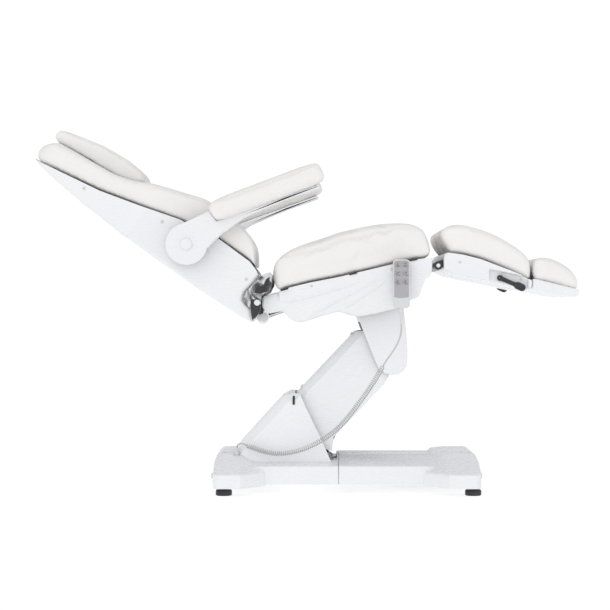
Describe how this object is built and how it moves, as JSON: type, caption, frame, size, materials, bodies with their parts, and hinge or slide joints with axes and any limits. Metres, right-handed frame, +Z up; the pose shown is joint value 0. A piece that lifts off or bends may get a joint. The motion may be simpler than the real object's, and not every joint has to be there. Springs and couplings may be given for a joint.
{
  "type": "facial treatment bed",
  "caption": "Electric facial and podiatry treatment bed with scissor-arm lift, tilting seat, reclining backrest, split leg rests, folding armrests and a wired handset.",
  "frame": {"origin": "on the floor under the middle of the bed, below the centre of its bounding box", "axes": "+X to the foot end, -X to the head end, -Y the side with the handset, +Z up"},
  "size_m": [1.666, 0.78, 1.125],
  "materials": {
    "leatherette": "soft upholstery leather look, warm white, fine grain",
    "shell": "smooth moulded, cool white",
    "steel": "white powder coat",
    "darksteel": "black powder coat",
    "bracket": "ground stainless plate",
    "bright": "polished",
    "black": "fine moulded",
    "grey": "light grey moulded",
    "keys": "mid grey",
    "cordskin": "smooth white sheath",
    "motor": "black housing"
  },
  "bodies": {
    "base": {"base_frame": "steel", "base_cover_head": "shell", "base_cover_foot": "shell", "column_cover": "shell", "control_box": "black", "cover_screws": "grey", "cord_gland": "grey", "base_pivot_pins": "bright", "cord_coil": "cordskin"},
    "lift_arm": {"lift_arm": "steel", "lift_arm_cover": "shell"},
    "level_link": {"level_link": "steel"},
    "lift_motor": {"lift_motor": "motor"},
    "lift_rod": {"lift_rod": "bright"},
    "carriage": {"carriage": "steel", "carriage_cover": "shell", "carriage_pins": "bright", "cord_lead": "cordskin"},
    "tilt_motor": {"tilt_motor": "motor"},
    "tilt_rod": {"tilt_rod": "bright"},
    "seat": {"seat_frame": "bracket", "seat_pan": "shell", "seat_cushion": "leatherette", "seat_pins": "bright", "handset_holder": "grey"},
    "back_motor": {"back_motor": "motor"},
    "back_rod": {"back_rod": "bright"},
    "backrest": {"back_frame": "darksteel", "back_shell": "shell", "back_cushion": "leatherette"},
    "pillow": {"head_pillow": "leatherette"},
    "handset": {"handset_shell": "grey"},
    "levelling_foot_head_near": {"levelling_foot_head_near": "black"},
    "levelling_foot_head_far": {"levelling_foot_head_far": "black"},
    "levelling_foot_foot_near": {"levelling_foot_foot_near": "black"},
    "levelling_foot_foot_far": {"levelling_foot_foot_far": "black"},
    "armrest_near": {"armrest_bar_near": "shell", "armrest_pad_near": "leatherette"},
    "leg_near": {"leg_frame_near": "darksteel", "leg_shell_near": "shell", "leg_cushion_near": "leatherette"},
    "foot_near": {"foot_slide_near": "bright", "foot_shell_near": "shell", "foot_cushion_near": "leatherette"},
    "release_lever_near": {"release_lever_near": "black"},
    "armrest_far": {"armrest_bar_far": "shell", "armrest_pad_far": "leatherette"},
    "leg_far": {"leg_frame_far": "darksteel", "leg_shell_far": "shell", "leg_cushion_far": "leatherette"},
    "foot_far": {"foot_slide_far": "bright", "foot_shell_far": "shell", "foot_cushion_far": "leatherette"},
    "release_lever_far": {"release_lever_far": "black"},
    "button_lift_up": {"button_lift_up": "keys"},
    "button_lift_down": {"button_lift_down": "keys"},
    "button_back_up": {"button_back_up": "keys"},
    "button_back_down": {"button_back_down": "keys"},
    "button_tilt_up": {"button_tilt_up": "keys"},
    "button_tilt_down": {"button_tilt_down": "keys"}
  },
  "joints": [
    {"name": "levelling_head_near", "type": "hinge", "parent": "base", "child": "levelling_foot_head_near", "pos_m": [-0.248, -0.235, 0], "axis": [0, 0, 1], "continuous": true},
    {"name": "levelling_head_far", "type": "hinge", "parent": "base", "child": "levelling_foot_head_far", "pos_m": [-0.248, 0.235, 0], "axis": [0, 0, 1], "continuous": true},
    {"name": "levelling_foot_near", "type": "hinge", "parent": "base", "child": "levelling_foot_foot_near", "pos_m": [0.514, -0.235, 0], "axis": [0, 0, 1], "continuous": true},
    {"name": "levelling_foot_far", "type": "hinge", "parent": "base", "child": "levelling_foot_foot_far", "pos_m": [0.514, 0.235, 0], "axis": [0, 0, 1], "continuous": true},
    {"name": "lift", "type": "hinge", "parent": "base", "child": "lift_arm", "pos_m": [-0.042, 0, 0.168], "axis": [0, -1, 0], "range_deg": [-28, 2], "deforming": ["cord_coil", "cord_lead"]},
    {"name": "link_swing", "type": "hinge", "parent": "base", "child": "level_link", "pos_m": [0.009, 0, 0.12], "axis": [0, -1, 0], "range_deg": [-28, 2]},
    {"name": "carriage_level", "type": "hinge", "parent": "lift_arm", "child": "carriage", "pos_m": [0.24022, 0, 0.4654], "axis": [0, -1, 0], "range_deg": [-2, 28]},
    {"name": "lift_motor_swing", "type": "hinge", "parent": "base", "child": "lift_motor", "pos_m": [0.04, 0, 0.095], "axis": [0, -1, 0], "range_deg": [-27.63, 1.97]},
    {"name": "lift_rod_stroke", "type": "slide", "parent": "lift_motor", "child": "lift_rod", "axis": [0.4214, 0, 0.9069], "range_m": [-0.05396, 0.00385]},
    {"name": "seat_tilt", "type": "hinge", "parent": "carriage", "child": "seat", "pos_m": [0.238, 0, 0.512], "axis": [0, -1, 0], "range_deg": [-15, 4]},
    {"name": "tilt_motor_swing", "type": "hinge", "parent": "seat", "child": "tilt_motor", "pos_m": [-0.03, 0, 0.596], "axis": [0, -1, 0], "range_deg": [-0.65241, 0.17398]},
    {"name": "tilt_rod_stroke", "type": "slide", "parent": "tilt_motor", "child": "tilt_rod", "axis": [0.996, 0, -0.0892], "range_m": [-0.01564, 0.00417]},
    {"name": "back_recline", "type": "hinge", "parent": "seat", "child": "backrest", "pos_m": [-0.146, 0, 0.59], "axis": [0, -1, 0], "range_deg": [-24, 30]},
    {"name": "back_motor_swing", "type": "hinge", "parent": "seat", "child": "back_motor", "pos_m": [0.15, 0, 0.64], "axis": [0, -1, 0], "range_deg": [-0.07986, 0.09982]},
    {"name": "back_rod_stroke", "type": "slide", "parent": "back_motor", "child": "back_rod", "axis": [-0.9447, 0, -0.328], "range_m": [-0.02564, 0.02051]},
    {"name": "pillow_lift", "type": "slide", "parent": "backrest", "child": "pillow", "axis": [0.592, 0, 0.8059], "range_m": [0, 0.12]},
    {"name": "armrest_near_swing", "type": "hinge", "parent": "backrest", "child": "armrest_near", "pos_m": [-0.357, 0, 0.765], "axis": [0, -1, 0], "range_deg": [0, 100]},
    {"name": "leg_near_drop", "type": "hinge", "parent": "seat", "child": "leg_near", "pos_m": [0.405, 0, 0.702], "axis": [0, -1, 0], "range_deg": [-60, 12]},
    {"name": "foot_near_slide", "type": "slide", "parent": "leg_near", "child": "foot_near", "axis": [0.9816, 0, -0.1908], "range_m": [0, 0.15]},
    {"name": "release_near", "type": "hinge", "parent": "leg_near", "child": "release_lever_near", "pos_m": [0.592, 0, 0.664], "axis": [0, -1, 0], "range_deg": [0, 9], "stiffness_Nm_per_rad": 1.5, "springref_deg": -5.73},
    {"name": "armrest_far_swing", "type": "hinge", "parent": "backrest", "child": "armrest_far", "pos_m": [-0.357, 0, 0.765], "axis": [0, -1, 0], "range_deg": [0, 100]},
    {"name": "leg_far_drop", "type": "hinge", "parent": "seat", "child": "leg_far", "pos_m": [0.405, 0, 0.702], "axis": [0, -1, 0], "range_deg": [-60, 12]},
    {"name": "foot_far_slide", "type": "slide", "parent": "leg_far", "child": "foot_far", "axis": [0.9816, 0, -0.1908], "range_m": [0, 0.15]},
    {"name": "release_far", "type": "hinge", "parent": "leg_far", "child": "release_lever_far", "pos_m": [0.592, 0, 0.664], "axis": [0, -1, 0], "range_deg": [0, 9], "stiffness_Nm_per_rad": 1.5, "springref_deg": -5.73},
    {"name": "handset_lift", "type": "slide", "parent": "seat", "child": "handset", "axis": [0, 0, 1], "range_m": [0, 0.05]},
    {"name": "press_lift_up", "type": "slide", "parent": "handset", "child": "button_lift_up", "axis": [0, 1, 0], "range_m": [0, 0.0008], "stiffness_N_per_m": 600, "springref_m": -0.0005},
    {"name": "press_lift_down", "type": "slide", "parent": "handset", "child": "button_lift_down", "axis": [0, 1, 0], "range_m": [0, 0.0008], "stiffness_N_per_m": 600, "springref_m": -0.0005},
    {"name": "press_back_up", "type": "slide", "parent": "handset", "child": "button_back_up", "axis": [0, 1, 0], "range_m": [0, 0.0008], "stiffness_N_per_m": 600, "springref_m": -0.0005},
    {"name": "press_back_down", "type": "slide", "parent": "handset", "child": "button_back_down", "axis": [0, 1, 0], "range_m": [0, 0.0008], "stiffness_N_per_m": 600, "springref_m": -0.0005},
    {"name": "press_tilt_up", "type": "slide", "parent": "handset", "child": "button_tilt_up", "axis": [0, 1, 0], "range_m": [0, 0.0008], "stiffness_N_per_m": 600, "springref_m": -0.0005},
    {"name": "press_tilt_down", "type": "slide", "parent": "handset", "child": "button_tilt_down", "axis": [0, 1, 0], "range_m": [0, 0.0008], "stiffness_N_per_m": 600, "springref_m": -0.0005}
  ],
  "couplings": [
    {"joint": "link_swing", "follows": "lift", "ratio": 1},
    {"joint": "carriage_level", "follows": "lift", "ratio": -1},
    {"joint": "lift_motor_swing", "follows": "lift", "ratio": 0.96743},
    {"joint": "lift_rod_stroke", "follows": "lift", "m_per_rad": 0.10825},
    {"joint": "tilt_motor_swing", "follows": "seat_tilt", "ratio": 0.04264},
    {"joint": "tilt_rod_stroke", "follows": "seat_tilt", "m_per_rad": 0.05858},
    {"joint": "back_motor_swing", "follows": "back_recline", "ratio": 0.00326},
    {"joint": "back_rod_stroke", "follows": "back_recline", "m_per_rad": -0.04801}
  ]
}
